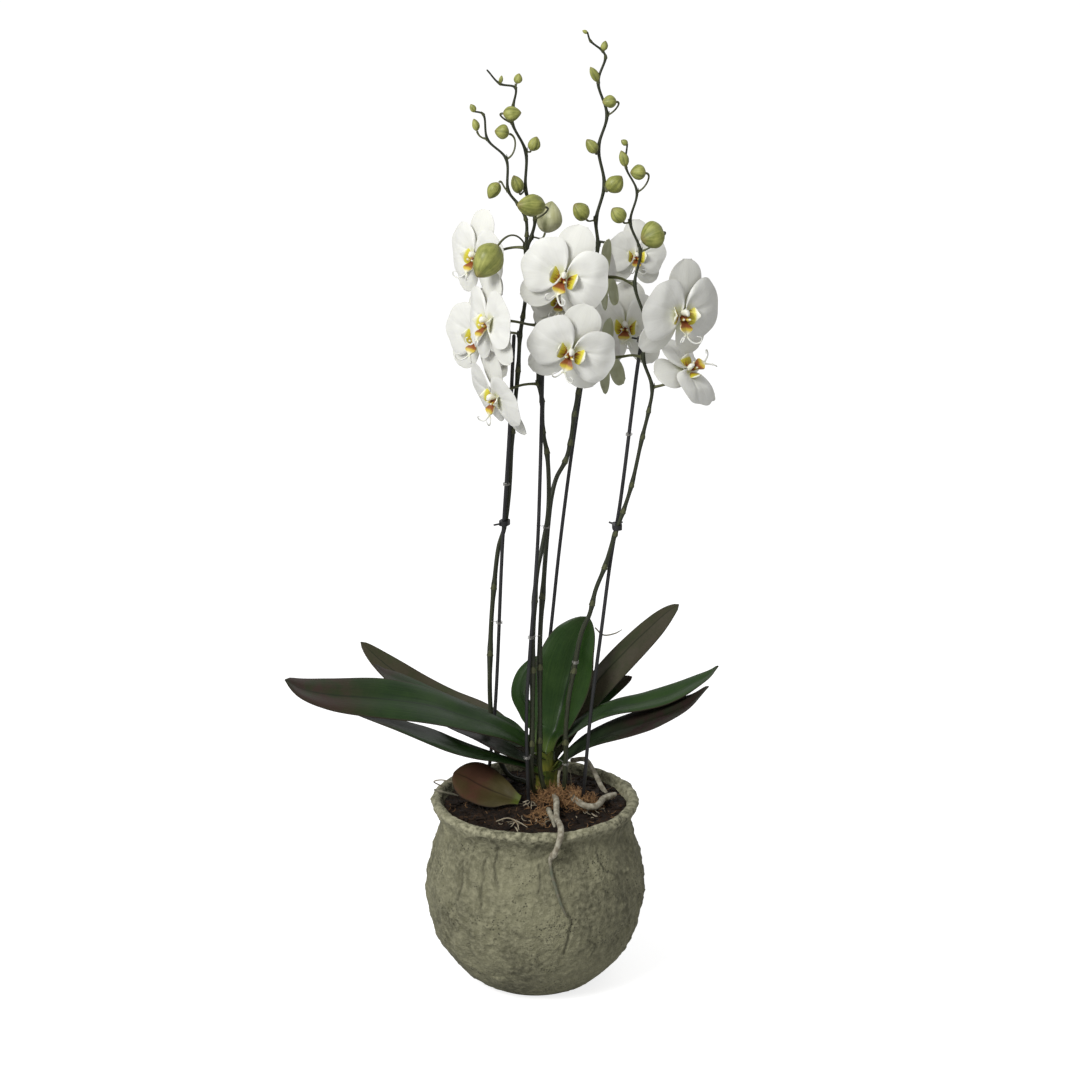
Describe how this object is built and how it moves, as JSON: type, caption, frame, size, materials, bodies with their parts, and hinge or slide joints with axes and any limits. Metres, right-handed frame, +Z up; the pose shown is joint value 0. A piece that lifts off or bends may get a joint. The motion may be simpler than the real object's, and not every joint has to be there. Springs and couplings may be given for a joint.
{
  "type": "potted orchid",
  "caption": "Moth orchid with several tall flowering stalks on stakes, strap leaves and loose roots, in a round stoneware pot with a flared rim.",
  "frame": {"origin": "centre of the pot's flat foot, on the surface it stands on", "axes": "+Z up, along the plant; the front of the plant faces -Y, +X to its right as seen from the front"},
  "size_m": [0.4488, 0.2518, 0.9914],
  "materials": {
    "stoneware": "rough grey-olive stoneware with crackled, wrinkled surface",
    "potting_mix": "damp dark bark and fibre",
    "crown": "waxy yellow-green leaf sheaths",
    "moss": "dry brown moss fibre",
    "leaf": "leathery dark green, satin",
    "leaf_old": "leathery bronze-purple, dull",
    "stake": "black plastic, satin",
    "spike": "dark olive-brown stalk",
    "clip": "black plastic",
    "root": "silvery aerial root",
    "petal": "white, soft satin",
    "bud": "olive-green, satin"
  },
  "bodies": {
    "root": {"pot": "stoneware", "potting_mix": "potting_mix", "crown": "crown", "moss_tuft": "moss", "leaf_left_long": "leaf", "leaf_left_low": "leaf", "leaf_left_inner": "leaf", "leaf_back_left": "leaf", "leaf_left_cupped": "leaf", "leaf_upright": "leaf", "leaf_back": "leaf", "leaf_right_high": "leaf", "leaf_right_small": "leaf", "leaf_right_green": "leaf", "leaf_right_low": "leaf", "leaf_old": "leaf_old", "stake_1": "stake", "stake_2": "stake", "stake_3": "stake", "stake_4": "stake", "spike_1": "spike", "spike_2": "spike", "spike_3": "spike", "spike_4": "spike", "clip_low_left": "clip", "clip_low_right": "clip", "clip_high_right": "clip", "root_over_rim": "root", "root_coiled": "root", "root_back": "root", "flower_1_1": "petal", "flower_1_2": "petal", "flower_2_1": "petal", "flower_2_2": "petal", "flower_2_3": "petal", "flower_3_1": "petal", "flower_3_2": "petal", "flower_3_3": "petal", "flower_3_4": "petal", "flower_4_1": "petal", "flower_4_2": "petal", "flower_4_3": "petal", "flower_4_4": "petal", "bud_1_1": "bud", "bud_1_2": "bud", "bud_1_3": "bud", "bud_2_1": "bud", "bud_2_2": "bud", "bud_2_3": "bud", "bud_2_4": "bud", "bud_2_5": "bud", "bud_2_6": "bud", "bud_2_7": "bud", "bud_3_1": "bud", "bud_3_2": "bud", "bud_3_3": "bud", "bud_3_4": "bud", "bud_4_1": "bud", "bud_4_2": "bud", "bud_4_3": "bud"}
  },
  "joints": []
}
